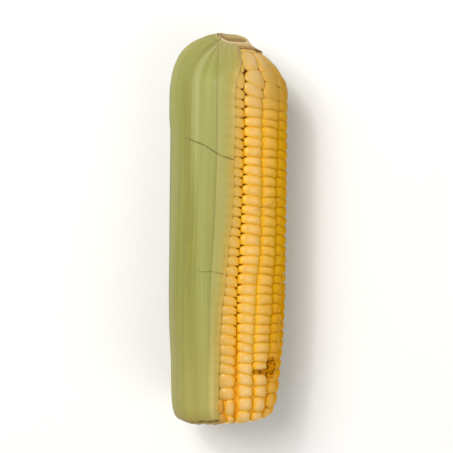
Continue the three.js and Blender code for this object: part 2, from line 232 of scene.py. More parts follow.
def linear(code):
    """A colour written as six hex digits in the usual screen scale, as linear light."""
    levels = [int(code[i : i + 2], 16) / 255 for i in (0, 2, 4)]
    return tuple(v / 12.92 if v <= 0.04045 else ((v + 0.055) / 1.055) ** 2.4 for v in levels)


def new_object(name, points, faces):
    """A smooth mesh object at the origin from an array of points and lists of corner numbers."""
    mesh = bpy.data.meshes.new(name)
    mesh.from_pydata(np.asarray(points).reshape(-1, 3).tolist(), [], faces)
    mesh.shade_smooth()
    made = bpy.data.objects.new(name, mesh)
    bpy.context.collection.objects.link(made)
    return made


floor_reach = 3.0
floor = new_object(
    "floor",
    [(x * floor_reach, y * floor_reach, 0) for x, y in ((-1, -1), (1, -1), (1, 1), (-1, 1))],
    [(0, 1, 2, 3)],
)
floor_finish = Finish("pale_table", Specular_IOR_Level=0.25)
floor_grain = floor_finish.noise(floor_finish.place, 900, 3)
floor.data.materials.append(
    floor_finish.show(
        Base_Color=floor_finish.mix(floor_grain, "e4e4e2", "ecebe9"),
        Roughness=floor_grain * 0.2 + 0.5,
    )
)


# ---- Ear's outline -----------------------------------------------------------------------------
# The ear is a straight body that thins a little to the tip's cut, with a blunt dome at the butt.
# Kernels and husk all follow this outline. Its own Y is counted from a point on the axis.

ear_low, ear_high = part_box("ear")
shank_low, shank_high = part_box("shank")
butt_y = 86.4 * mm
axis = Vector(
    ((ear_low.x + ear_high.x) / 2, shank_high.y - butt_y, (shank_low.z + shank_high.z) / 2)
)
crown_radius = (ear_high.x - ear_low.x) / 2

tip_y = -86.6 * mm
tip_slant = 0.07
tip_slant_fade = 30 * mm
taper_start = -22 * mm
taper_drop = 4.2 * mm
taper_power = 2.2
tip_round_length = 8 * mm
tip_round_drop = 2 * mm
cut_margin = 2 * mm
dome_start = 60 * mm
dome_length = 22.5 * mm
dome_power = 1.55
outline_steps = 700
outline_pitch = 0.25 * mm
outline_softness = 2.6 * mm


def smooth(value, low, high):
    """Smooth step: 3 t^2 - 2 t^3 of the share t of the way from low to high, held at the ends."""
    share = np.clip((value - low) / (high - low), 0, 1)
    return share * share * (3 - 2 * share)


def smooth_mm(value, low, high):
    """The same smooth step between two places given in millimetres."""
    return smooth(value, low * mm, high * mm)


def body_radius(y):
    """Crown radius less a drop that grows as a power of the way to the tip, and a rounded end."""
    taper = np.clip((taper_start - y) / (taper_start - tip_y), 0, None)
    rounding = np.clip(1 - (y - tip_y) / tip_round_length, 0, None)
    return crown_radius - taper_drop * taper**taper_power - tip_round_drop * rounding**2


def softened(values, weights):
    """Weighted mean of each value and its neighbours, with the ends carried on straight."""
    padded = np.pad(values, len(weights) // 2, mode="reflect", reflect_type="odd")
    return np.convolve(padded, weights / weights.sum(), mode="valid")


def trace_outline():
    """Y, radius, station and outward normal along the body and then the butt's superellipse,
    softened where the one runs in to the other."""
    body_y = np.linspace(tip_y, dome_start, outline_steps)
    turn = np.linspace(0, math.pi / 2, outline_steps)[1:]
    along = np.sin(turn) ** (2 / dome_power)
    across = np.clip(np.cos(turn), 0, None) ** (2 / dome_power)
    y = np.concatenate([body_y, dome_start + dome_length * along])
    r = np.concatenate([body_radius(body_y), crown_radius * across])
    s = np.concatenate([[0], np.cumsum(np.hypot(np.diff(y), np.diff(r)))])
    even_s = np.arange(0, s[-1], outline_pitch)
    weights = np.hanning(2 * int(outline_softness / outline_pitch) + 1)
    y, r = (softened(np.interp(even_s, s, values), weights) for values in (y, r))
    s = np.concatenate([[0], np.cumsum(np.hypot(np.diff(y), np.diff(r)))])
    return y, r, s, -np.gradient(r, s), np.gradient(y, s)


outline_y, outline_r, outline_s, outline_ny, outline_nr = trace_outline()
dome_station = np.interp(dome_start, outline_y, outline_s)


def station_at_radius(radius):
    """Station on the dome where the outline has come in to this radius."""
    dome = outline_s >= dome_station
    return np.interp(-radius, -outline_r[dome], outline_s[dome])


def outline_at(s):
    """Y and radius of the outline at stations."""
    return np.interp(s, outline_s, outline_y), np.interp(s, outline_s, outline_r)


def round_the_ear(angle, r, y, s):
    """Points at angles and radii round the axis. Towards the tip they follow the cut's slant."""
    x = r * np.sin(np.radians(angle))
    z = r * np.cos(np.radians(angle))
    slant = tip_slant * x * (1 - smooth(s, 0, tip_slant_fade))
    return np.stack(np.broadcast_arrays(axis.x + x, axis.y + y + slant, axis.z + z), axis=-1)


def raised(s, height):
    """Radius and Y at stations, raised by heights along the outline's normal. Near the tip's cut
    they rise straight out from the axis instead, so that the cut end stays flat."""
    y, r = outline_at(s)
    off_cut = smooth(s, cut_margin, 5 * cut_margin)
    normal_r = 1 + (np.interp(s, outline_s, outline_nr) - 1) * off_cut
    normal_y = np.interp(s, outline_s, outline_ny) * off_cut
    return r + normal_r * height, y + normal_y * height


def ear_surface(angle, s, height):
    """Points at angles and stations, raised by heights along the outline's normal."""
    return round_the_ear(angle, *raised(s, height), s)


def window_edge(y):
    """The innermost leaf's edge: it slants from the crest away from the kernels to the tip."""
    slant = 14 * smooth_mm(-y, -22, 66)
    waver = 0.4 * np.sin(y / mm * 0.19) + 0.25 * np.sin(y / mm * 0.43 + 1)
    return 8.5 - slant + 15 * smooth_mm(y, 54, 88) + waver


# ---- Kernels -----------------------------------------------------------------------------------
# Sixteen rows of plump kernels packed side by side on the core. Each is a soft pillow with its
# own place, size, lean and tint; they are rounder at the tip and broad and flat at the butt.

row_count = 16
row_pitch = 360 / row_count
first_groove = 16.6
row_twist = 0.036 / mm
row_waver = 0.8
waver_length = 92 * mm
row_pinch = 4.4
butt_weave = 2.4
kernel_pitch = 4.22 * mm
tip_kernel_pitch = 6.2 * mm
butt_kernel_pitch = 9.0 * mm
kernel_jitter = 0.16
seam_bow = 0.5 * mm
seam_slant = 0.1
first_kernel_share = 0.75
first_kernel_spread = 0.4
last_kernel_share = 0.55
end_jitter_gain = 1.4
uneven_start = 1.0 * mm
merge_radius = 13.2 * mm
merge_zigzag = 0.9 * mm
split_kernels = {(15, 0): 0.55, (15, 1): 0.42}  # row and number, and where it is split

merge_station = station_at_radius(merge_radius)
bare_radius = 11.4 * mm
ear_end_station = station_at_radius(bare_radius)
count_stations = np.linspace(0, merge_station + butt_kernel_pitch, 2000)
tip_share = 1 - smooth_mm(count_stations, 8, 34)
butt_share = smooth_mm(count_stations, 138, 158)
pitches = (
    kernel_pitch
    + (tip_kernel_pitch - kernel_pitch) * tip_share
    + (butt_kernel_pitch - kernel_pitch) * butt_share
)
kernel_counts = np.concatenate([[0], np.cumsum(np.diff(count_stations) / pitches[1:])])


def groove_angle(line, s):
    """Angle of a groove between rows: evenly spaced lines that twist a little and waver. Short
    of the tip they are pinched together on the side of the crest, and spread on the other."""
    y = outline_at(s)[0]
    pinched = smooth_mm(-y, 8, 30) * (1 - smooth_mm(-y, 56, 78))
    pinch = row_pinch * pinched * np.sin(math.tau * (line + 1) / row_count)
    waver = row_waver * np.sin(math.tau * s / waver_length + 1.9 * (line % row_count))
    weave = np.sin(y / mm * 0.5 + 2.4 * (line % row_count))
    weave = butt_weave * smooth_mm(y, 55, 66) * weave
    return first_groove + line * row_pitch + row_twist * y + waver + weave - pinch


def lay_rows():
    """Each kernel as [left line, right line, low left, low right, high left, high right]: its
    two grooves and the stations where its lower and upper cross lines meet them."""
    random = np.random.RandomState(2031)
    kernels = []
    ring = merge_station + merge_zigzag * np.where(np.arange(row_count) % 2, 1, -1)
    for row in range(row_count):
        right = (row + 1) % row_count
        last = np.interp(min(ring[row], ring[right]), count_stations, kernel_counts)
        first = first_kernel_share + first_kernel_spread * random.rand()
        counts = np.arange(first, last - last_kernel_share)
        jitter = kernel_jitter * (2 * random.rand(2, len(counts)) - 1)
        jitter = jitter * (1 + end_jitter_gain * smooth(last - counts, 4, 2))
        jitter = jitter + np.array([[seam_slant], [-seam_slant]])
        ends = np.interp(counts + jitter, kernel_counts, count_stations)
        low = uneven_start * random.rand()
        left_ends = np.concatenate([[low], ends[0], [ring[row]]])
        right_ends = np.concatenate([[low], ends[1], [ring[right]]])
        lines = np.tile([row, row + 1], (len(left_ends) - 1, 1))
        sides = [left_ends[:-1], right_ends[:-1], left_ends[1:], right_ends[1:]]
        cells = np.column_stack([lines, *sides])
        for (split_row, number), share in split_kernels.items():
            if split_row == row:
                halves = np.tile(cells[number], (2, 1))
                middle = cells[number, ::2] * (1 - share) + cells[number, 1::2] * share
                halves[0, 1::2] = middle
                halves[1, ::2] = middle
                cells[number] = halves[0]
                cells = np.concatenate([cells, halves[1:]])
        kernels.append(cells)
    for line in range(0, row_count, 2):
        far = (line + 2) % row_count
        kernels.append([[line, line + 2, ring[line], ring[far], ear_end_station, ear_end_station]])
    return np.concatenate(kernels)


kernel_cells = lay_rows()
kernel_number = len(kernel_cells)

around = 12
ring_shares = np.array([0.45, 0.78, 1.0, 1.1])
side_drop = 0.95 * mm
side_power = 2.8
end_drop = 0.52 * mm
end_power = 2.2
corner_drop = 0.35 * mm
root_drop = 3.0 * mm
root_size = 0.85
corner_pull = 0.32
open_groove_part = 0.1  # of half a kernel's width, by which the open groove's sides part
lean_size = 0.22 * mm
crush_sink = 1.2 * mm
crush_pucker = 0.6 * mm
least_sink = 0.06 * mm
crushed_radius = 22 * mm  # of the ear at the crushed spots
crushed_spots = ((48, -63.6 * mm, 6.2 * mm, 1.4 * mm), (61, -62.6 * mm, 3.4 * mm, 5.2 * mm))


def crushed_share(angle, y):
    """1 in the crushed spots and 0 outside them: steep bells over ovals, each given by its
    angle, its Y and how far it reaches round the ear and along it."""
    share = 0 * angle + 0 * y
    for spot_angle, spot_y, reach_round, reach_along in crushed_spots:
        off_angle = np.radians((angle - spot_angle + 180) % 360 - 180) * crushed_radius
        off = np.hypot(off_angle / reach_round, (y - spot_y) / reach_along)
        share = np.maximum(share, np.exp(-(off**4)))
    return share


def between(low, high, place):
    """A value on the straight way from low, where the place is -1, to high, where it is 1."""
    return low + (high - low) * (place + 1) / 2


def kernel_template():
    """Unit directions round a kernel and the faces that join its rings: the crown's point,
    rings from the inmost out to the kernel's border, and the root's ring and its flat end."""
    turn = (np.arange(around) + 0.5) * math.tau / around
    rings = len(ring_shares) + 1
    faces = []
    for i in range(around):
        j = (i + 1) % around
        faces.append((0, 1 + i, 1 + j))
        for ring in range(rings - 1):
            low, high = 1 + ring * around, 1 + (ring + 1) * around
            faces.append((low + i, high + i, high + j, low + j))
    root = 1 + (rings - 1) * around
    faces.append(tuple(root + i for i in reversed(range(around))))
    return np.cos(turn), np.sin(turn), faces


def keep_marks(made, marks):
    """Keeps numbers on an object's vertices, each set of them under its own name."""
    for name, values in marks.items():
        layer = made.data.attributes.new(name, "FLOAT", "POINT")
        layer.data.foreach_set("value", np.ascontiguousarray(values).ravel())


def make_kernels():
    """Closed pillows. Each border is a squarish superellipse that fills its cell, and the rings
    inside it grow rounder. From its crown the pillow falls as a power of the way out, deeper to
    its sides, where the grooves between rows are, than to its ends, and most to its corners."""
    random = np.random.RandomState(77)
    left, right, low_left, low_right, high_left, high_right = kernel_cells.T[:, :, None]
    middle = (low_left + low_right + high_left + high_right) / 4
    near_tip = 1 - smooth_mm(middle, 8, 44)
    near_butt = smooth_mm(middle, 136, 150)
    chance = random.rand(6, kernel_number, 1)

    cos, sin, template_faces = kernel_template()
    crown_squareness = 2.7 - 0.3 * near_tip + 1.2 * (chance[0] - 0.5)
    border_squareness = 6.5 - 3.7 * near_tip - 3.1 * near_butt
    deep = (1 + 0.35 * near_tip - 0.3 * near_butt) * (0.85 + 0.3 * chance[2])
    sunk = 0.16 * mm * chance[1] ** 2
    zero = np.zeros((kernel_number, 1))
    rings = [(zero, zero, sunk, zero)]
    for share in ring_shares:
        squareness = crown_squareness + (border_squareness - crown_squareness) * min(share, 1) ** 4
        ring_u = share * np.sign(cos) * np.abs(cos) ** (2 / squareness)
        ring_v = share * np.sign(sin) * np.abs(sin) ** (2 / squareness)
        fall = side_drop * np.abs(ring_u) ** side_power + end_drop * np.abs(ring_v) ** end_power
        fall = fall + corner_drop * np.abs(ring_u * ring_v) ** 3
        rings.append((ring_u, ring_v, sunk + deep * fall, share + 0 * ring_u))
    root = (root_drop + 0 * ring_u, 1 + 0 * ring_u)
    rings.append((ring_u * root_size, ring_v * root_size, *root))
    u, v, drop, edge = (np.concatenate(parts, axis=1) for parts in zip(*rings))

    # The groove nearest the crest stands open. Along the body the corners beside it are pulled
    # back, and towards the tip its whole sides are, where all the other grooves open too.
    beside = np.where(left == 0, np.clip(-u, 0, 1), 0) + np.where(right == row_count, u, 0)
    beside = np.clip(beside, 0, 1)
    pulled = beside * np.abs(v) ** 6 * (0.3 + 0.7 * smooth_mm(middle, 18, 52))
    side = np.abs(u)
    parted = open_groove_part * beside * (1 - smooth_mm(middle, 28, 62))
    u = u * (1 - corner_pull * pulled - 0.09 * near_tip - parted)
    v = v * (1 - 0.03 * near_tip)

    lean_across, lean_along = (chance[3:5] - 0.5) * lean_size
    height = -drop + lean_across * u + lean_along * v
    s = between(between(low_left, low_right, u), between(high_left, high_right, u), v)
    s = s + seam_bow * (1 - u**2) * smooth_mm(s, 1, 9) * (1 - smooth_mm(s, 150, 156))
    angle = between(groove_angle(left, s), groove_angle(right, s), u)
    y = outline_at(s)[0]

    # A few kernels near the tip were crushed: they are sunk, and puckered by crossed waves.
    crushed = crushed_share(angle, y)
    pucker = np.sin(angle + 2 * np.sin(y * 1500)) * np.sin(y * 2900)
    height = height - crushed * (crush_sink + crush_pucker * pucker)
    points = ear_surface(angle, np.clip(s, 0, None), np.minimum(height, -least_sink))

    from_husk = (angle - window_edge(y) + 180) % 360 - 180
    by_husk = (1 - smooth(from_husk, 3.5, 9)) * (from_husk > -40)

    per_kernel = points.shape[1]
    faces = [
        tuple(corner + k * per_kernel for corner in face)
        for k in range(kernel_number)
        for face in template_faces
    ]
    made = new_object("kernels", points, faces)
    marks = {
        "tint": np.broadcast_to(chance[5], u.shape),
        "edge": edge,
        "side": side,
        "crushed": crushed,
        "by_husk": by_husk,
        # Painted shade: the mask of the kernels' corners beside the open groove, which are painted
        # dark brown.
        "open_side_shade": beside**4 * (0.35 + 0.65 * np.abs(v) ** 6) * edge,
    }
    keep_marks(made, marks)
    return made


def kernel_skin():
    """Pale golden, paler at both ends and darker towards -X, with darker seams. The crowns are
    painted paler in their middles, a painted highlight. Towards +X the kernels turn deeper amber,
    partly their own colour and partly painted shade. There the seams and, at the butt, the tan are
    painted darker as shade, and a painted shadow runs along the +X edge. Corners by the open groove
    carry painted shade. Kernels are stained by the husk's edge and brown where they are crushed."""
    finish = Finish(
        "kernel_skin",
        Subsurface_Weight=0.2,
        Subsurface_Radius=(0.0032, 0.0016, 0.0005),
        Subsurface_Scale=1.0,
        Specular_IOR_Level=0.0,
        Coat_Roughness=0.2,
    )
    x = finish.axis("X") - axis.x
    y = finish.axis("Y") - axis.y
    edge = finish.attribute("edge")
    mottle = finish.noise(finish.place, 420, 3)
    # The side past +X 9 mm, where shade is painted into the colour and the coat thins.
    shaded_side = x.rise_mm(9, 22)
    at_tip = y.rise_mm(-44, -72)
    at_butt = y.rise_mm(38, 64)
    # Random mottle, the kernels' own, and crowns paler towards their middles, a painted highlight.
    pale = mottle.rise(0.3, 0.8) * 0.3 + edge.rise(0.7, 0.1) * 0.35
    # Deeper amber towards +X: partly the kernels' own colour, partly painted shade.
    amber_and_shade = x.rise_mm(13, 24) * (1 - 0.7 * at_butt)
    crown = finish.painted(
        finish.mix(finish.attribute("tint"), "d6a646", "deaf52"),
        (pale, "ecc07a"),
        (at_tip * 0.6, "e2bc7c"),
        # At the butt the kernels are paler tan, painted darker towards +X as shade.
        (at_butt * 0.85, finish.mix(shaded_side, "caa86c", "ac8a40")),
        (amber_and_shade * 0.95, finish.mix(y.rise_mm(-15, -40), "dca404", "d89602")),
        # Painted shadow: the colour darkens along the +X edge.
        (x.rise_mm(20, 27) * 0.7, "b07c04"),
        (x.rise_mm(10, 5) * 0.4, "c4923c"),
        (x.rise_mm(3, -5) * (0.7 + 0.3 * at_tip), "c4943e"),
        (x.rise_mm(6, 3) * y.rise_mm(5, 30) * 0.7, "c4943e"),
    )
    # Seams turn deeper towards +X, painted shade.
    seam = finish.mix(shaded_side, "ecb024", "d09404")
    seam = finish.painted(seam, (at_tip * 0.7, "e0a220"), (at_butt * 0.8, "caa04e"))
    flank = finish.attribute("side").rise(0.5, 0.98)
    open_side_shade = finish.attribute("open_side_shade").rise(0.1, 0.9)
    stained = y.rise_mm(-70, -77)
    by_husk = finish.attribute("by_husk") * (stained * 0.15 + 0.6)
    crushed = finish.attribute("crushed")
    torn = finish.noise(finish.place, 620, 2).rise(0.45, 0.66)
    skin = finish.painted(
        crown,
        (flank.larger(edge.rise(0.62, 1.0) * 0.8), seam),
        # Painted shade in the open groove's corners: dark brown, golden towards the tip.
        (open_side_shade * 0.8, finish.mix(y.rise_mm(-24, -50), "8a4c0c", "dc980e")),
        (by_husk, finish.mix(stained, "bfa050", "b8822c")),
        (crushed.rise(0.1, 0.6) * 0.95, finish.mix(torn, "c88204", "7a4800")),
    )
    return finish.show(
        Base_Color=skin,
        Roughness=mottle * 0.2 + 0.26,
        Coat_Weight=(0.36 - shaded_side * 0.34) * (1 - crushed),
        Normal=finish.bump(mottle, 0.12 * mm, 0.6),
    )


kernels = make_kernels()
kernels.data.materials.append(kernel_skin())
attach(kernels, "root")
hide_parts("ear")


# ---- Core --------------------------------------------------------------------------------------
# The pithy core that the kernels grow on. It shows as golden chaff deep in the grooves, brown in
# the open one by the crest, partly the chaff's own brown and partly painted shade, darker near the
# butt as painted shade where the stub meets the kernels, and as rings on the tip's cut: pith, wood
# and the kernels' roots.

core_depth = 1.75 * mm
open_groove_depth = 0.9 * mm
crushed_depth = 1.8 * mm
core_columns = 288
pith_radius = 4.6 * mm
wood_radius = 8.2 * mm
root_ring_radius = 11.2 * mm


def grid_faces(grid, turned_over=False):
    """The four-cornered faces between neighbours in a grid of corner numbers."""
    corners = [grid[:-1, :-1], grid[:-1, 1:], grid[1:, 1:], grid[1:, :-1]]
    if turned_over:
        corners = [corners[0], *corners[:0:-1]]
    return np.stack(corners, axis=-1).reshape(-1, 4)


def ring_faces(index, turned_over=False):
    """The faces of a closed shape from rings of corners: each ring is joined to the next, and
    the first ring and the last are filled."""
    sides = grid_faces(np.hstack([index, index[:, :1]]), turned_over)
    first, last = (index[0], index[-1][::-1]) if turned_over else (index[0][::-1], index[-1])
    return [*sides.tolist(), first.tolist(), last.tolist()]


def make_core():
    """A surface of turning: from the middle of the tip's cut out to its rim, along under the
    kernels and in to the axis at the butt, roughened by crossed waves."""
    angle = np.linspace(0, 360, core_columns, endpoint=False)
    rim = body_radius(tip_y) - core_depth
    face_r = np.concatenate([np.linspace(0.3 * mm, rim - 0.4 * mm, 60), [rim - 0.1 * mm]])
    lines = groove_angle(0, 0.0)
    seam = np.abs((((angle - lines) / row_pitch) % 1) - 0.5) * 2
    outside = smooth(face_r, root_ring_radius, root_ring_radius + 1.5 * mm)[:, None]
    groove = smooth(seam, 0.86, 1.0)[None, :]
    fibre = np.sin(np.radians(angle) * 48)[None, :] * np.sin(face_r * 2400)[:, None]
    ring = smooth(face_r, pith_radius, pith_radius + 0.5 * mm)
    ring = ring - smooth(face_r, wood_radius, wood_radius + 0.6 * mm)
    sunk = 0.15 * mm + 0.5 * mm * groove * outside
    sunk = sunk + 0.12 * mm * (1 - ring[:, None]) + 0.05 * mm * fibre * (1 - outside)
    face = round_the_ear(angle[None, :], face_r[:, None], tip_y + sunk, 0)
    side_s = np.linspace(0.3 * mm, ear_end_station, 260)
    chaff = np.sin(np.radians(angle) * 64 + 3 * np.sin(side_s * 900)[:, None])
    chaff = chaff * np.sin(side_s * 1430)[:, None]
    off_groove = (angle[None, :] - groove_angle(0, side_s[:, None]) + 180) % 360 - 180
    open_groove = 1 - smooth(np.abs(off_groove), 2.5, 6)
    depth = core_depth + open_groove_depth * open_groove
    side_y = outline_at(side_s)[0][:, None]
    depth = depth + crushed_depth * crushed_share(angle[None, :], side_y)
    side = ear_surface(angle[None, :], side_s[:, None], 0.2 * mm * chaff - depth)
    points = np.concatenate([face, side])
    index = np.arange(points[..., 0].size).reshape(-1, core_columns)
    made = new_object("core", points, ring_faces(index))
    keep_marks(made, {"open_groove": np.concatenate([0 * face[..., 0], open_groove])})
    return made


def core_chaff():
    """Chaff on the side, mottled, and on the cut one ring of colour outside another, each with
    a ragged edge. The two meet just inside the cut. In the open groove the chaff is brown, partly
    as painted shade, and near the butt it darkens as painted shade."""
    finish = Finish("core_chaff", Specular_IOR_Level=0.3)
    x = finish.axis("X") - axis.x
    y = finish.axis("Y") - axis.y - x * tip_slant
    radius = (x**2 + (finish.axis("Z") - axis.z) ** 2) ** 0.5
    grain = finish.noise(finish.place, 1500, 3)
    at_tip = y.rise_mm(-30, -56)
    # Brown in the open groove, partly the chaff's colour and partly painted shade; golden at the
    # tip.
    open_chaff_and_shade = finish.mix(at_tip * 0.95, finish.mix(grain, "8a4a06", "b06c10"), "eca81c")
    side = finish.painted(
        finish.mix(grain, "cc9420", "e0a830"),
        (at_tip, "dc9818"),
        (finish.attribute("open_groove"), open_chaff_and_shade),
        # Painted shade: darker brown near the butt, where the stub meets the kernels.
        (y.rise_mm(74, 76.5) * 0.85, "8a5e20"),
    )
    ragged = radius + (grain - 0.5) * 2.5 * mm
    in_wood = ragged.rise(pith_radius - 0.3 * mm, pith_radius + 0.4 * mm)
    in_roots = ragged.rise(root_ring_radius, root_ring_radius + 0.8 * mm)
    face = finish.painted(
        finish.mix(grain, "efe6c8", "f8f2dd"),
        (in_wood, finish.mix(grain, "cbb98a", "e2d3a6")),
        (ragged.rise(wood_radius, wood_radius + 0.8 * mm), "d9a765"),
        (in_roots, finish.mix(grain, "efd08a", "f6e0a6")),
    )
    at_face = y.rise(tip_y + 1.1 * mm, tip_y + 0.85 * mm)
    return finish.show(
        Base_Color=finish.mix(at_face, side, face),
        Roughness=grain * 0.2 + 0.6,
        Normal=finish.bump(grain, 0.2 * mm),
    )


core = make_core()
core.data.materials.append(core_chaff())
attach(core, "root")


# ---- Shank -------------------------------------------------------------------------------------
# The stub of stalk that the husk leaves grow from, cut off slantwise. Its face has dried and
# browned to a crease behind its near lip, and on the bare side it spreads down to the ear.

shank_radius = 7 * mm
shank_slope = math.tan(math.radians(24))
shank_facing = 20
lip_size = 0.42 * mm
hidden_lift = 1.5 * mm
crease_depth = 1.25 * mm
crease_place = 0.2 * mm
crease_width = 3.4 * mm
skirt_reach = 6.1 * mm
skirt_foot = 77.3 * mm
bare_from = (9, 33)  # degrees over which the stub comes out from under the leaves
bare_to = (110, 136)  # and goes back under them
shank_inset = 0.2 * mm
shank_columns = 96
side_rows = 18
lip_rows = 8
face_rows = 34


def hidden_side(angle):
    """A bell round the stub: 1 on the side where the leaves are gathered, 0 on the bare side."""
    return np.exp(3 * (np.cos(np.radians(angle + 85)) - 1))


def rim_height(angle):
    """Y of the stub's rim, which the slanting cut brings lowest at the facing angle, and which
    stays higher within the gathered leaves."""
    cut = butt_y - shank_radius * shank_slope * (1 + np.cos(np.radians(angle - shank_facing)))
    return np.minimum(cut + hidden_lift * hidden_side(angle), butt_y)


def make_shank():
    """Rows from the base up the side, over the rolled lip and in over the cut face. The side
    spreads in a skirt where it is bare. The face follows the slope of the cut and sinks in a
    crease, which is a bell curve across the slope and fades at the lip."""
    angle = np.linspace(0, 360, shank_columns, endpoint=False)[None, :]
    rim = rim_height(angle)
    bare = smooth(angle, *bare_from) * (1 - smooth(angle, *bare_to))
    up = np.linspace(0, 1, side_rows)[:, None]
    flutes = 0.1 * mm * np.sin(np.radians(angle * 14)) + 0.08 * mm * np.sin(np.radians(angle * 5))
    side_r = shank_radius - shank_inset + flutes + skirt_reach * bare * (1 - up) ** 1.4
    side_y = skirt_foot + (rim - lip_size - skirt_foot) * up
    turn = np.linspace(0, math.pi / 2, lip_rows)[1:, None]
    lip_r = shank_radius - shank_inset + flutes - lip_size * (1 - np.cos(turn))
    lip_y = rim - lip_size * (1 - np.sin(turn))
    inward = np.linspace(1, 0.02, face_rows)[1:, None]
    face_r = (shank_radius - shank_inset - lip_size + flutes) * inward
    downhill = face_r * np.cos(np.radians(angle - shank_facing))
    crease = np.exp(-(((downhill - crease_place) / crease_width) ** 2))
    crease = crease * smooth_mm(shank_radius - face_r, 0.7, 1.7)
    rings = 0.05 * mm * np.sin(face_r * 4200) * smooth_mm(shank_radius - face_r, 0.7, 1.6)
    cut_y = butt_y - shank_slope * (shank_radius + downhill)
    to_rim = rim - (butt_y - shank_slope * (shank_radius + shank_radius * downhill / face_r))
    face_y = cut_y + to_rim * inward**5 - crease_depth * crease + rings
    r = np.concatenate([side_r, lip_r, face_r])
    y = np.concatenate([side_y, lip_y, face_y])
    points = round_the_ear(angle, r, y, outline_s[-1])
    made = new_object("shank_stub", points, ring_faces(np.arange(r.size).reshape(r.shape)))
    keep_marks(made, {"crease": np.concatenate([0 * side_r, 0 * lip_r, crease])})
    return made


def shank_skin():
    """Dry tan, pale on the near lip and browner in the crease. The foot is painted darker brown as
    painted shade, where the stub meets the kernels.
    """
    finish = Finish("shank_cut", Specular_IOR_Level=0.35)
    grain = finish.noise(finish.place, 1300, 4)
    mottle = finish.noise(finish.place, 330, 3)
    crease = finish.attribute("crease") + (grain - 0.5) * 0.5
    y = finish.axis("Y") - axis.y
    skin = finish.painted(
        finish.mix(mottle.rise(0.35, 0.65), "b8924e", "c4a464"),
        (y.rise_mm(79.7, 80.7), "d6c092"),
        (y.rise_mm(82.0, 83.4), "b09a60"),
        # Painted shade: darker brown at the foot, where the stub meets the kernels.
        (y.rise_mm(79.5, 78.3) * 0.8, "946a2a"),
        (grain.rise(0.5, 0.75) * 0.25, "9c8040"),
        (crease.rise(0.2, 0.65) * 0.9, "8a6a30"),
    )
    return finish.show(
        Base_Color=skin,
        Roughness=grain * 0.25 + 0.55,
        Normal=finish.bump(grain, 0.25 * mm),
    )


shank = make_shank()
shank.data.materials.append(shank_skin())
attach(shank, "root")
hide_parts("shank")


# ---- Husk --------------------------------------------------------------------------------------
# Five leaves wrap the ear, each over the ones before it, from the shank to the trimmed tip. They
# are satin, ribbed lengthwise by parallel veins, green outside and paler further in.

leaf_step = 1.0 * mm
leaf_stand = 0.95 * mm
leaf_thickness = 0.42 * mm
drape_length = 3.0 * mm
hidden_edge = -236
outer_edge_offset = 6.9 * mm
rest_angle = -180
rest_stand_off = 0.25 * mm
ripple = 0.22 * mm
ripple_count = 11
butt_bulge = 4.2 * mm
early_bulge = 0.2
bulge_end_loss = 0.45


def outer_edge(y):
    """The outermost leaf's edge, which keeps its distance from the crest over the butt."""
    along = np.clip((y - dome_start) / dome_length, 0, 1)
    dome = (1 - along**dome_power) ** (1 / dome_power)
    radius = body_radius(np.minimum(y, dome_start)) * dome + 3 * mm
    waver = 0.3 * np.sin(y / mm * 0.15 + 2)
    aside = np.degrees(np.arcsin(outer_edge_offset / radius))
    return 6 - 6 * smooth_mm(-y, -30, 50) - aside + waver


def second_edge(y):
    """The edge that lies just back from the innermost leaf's, and further over the butt."""
    return window_edge(y) - 4 - 8 * smooth_mm(y, 60, 80)


def first_hidden_edge(y):
    """The free edge on the hidden side, which reaches a little further round at the tip."""
    return hidden_edge - 3 * smooth_mm(-y, -30, 70)


def second_hidden_edge(y):
    """The edge that lies back from the first hidden one, and further back over the butt."""
    return hidden_edge + 7 + 5 * smooth_mm(y, -60, 40)


def steady(value):
    """An edge at the same angle all along."""
    return lambda y: value + 0 * y


# Each leaf: node it stands for, its two edges, how far its tip stops short in millimetres, and
# its tone from 0, the pale inside, to 1, the green outside.
leaves = [
    ("husk_leaf_1", steady(-132), window_edge, 0.6, 0.0),
    ("husk_leaf_2", first_hidden_edge, steady(-96), 0.9, 0.1),
    ("husk_leaf_3", steady(-142), second_edge, 0.3, 0.2),
    ("husk_leaf_4", second_hidden_edge, steady(-122), 1.1, 0.7),
    ("husk_leaf_5", steady(-201.4), outer_edge, 1.7, 1.0),
]


def thickness_at(from_edge):
    """A leaf is an eighth as thick at its edge as it is a few millimetres in from it."""
    return leaf_thickness * (0.12 + 0.88 * smooth_mm(from_edge, 0, 5))


def lump_under(s):
    """1 over the middles of the kernels in the row under the window's edge and 0 over seams."""
    seams = kernel_cells[kernel_cells[:, 0] == row_count - 1, 2]
    counted = np.interp(s, seams, np.arange(len(seams)))
    return 0.5 - 0.5 * np.cos(math.tau * counted)


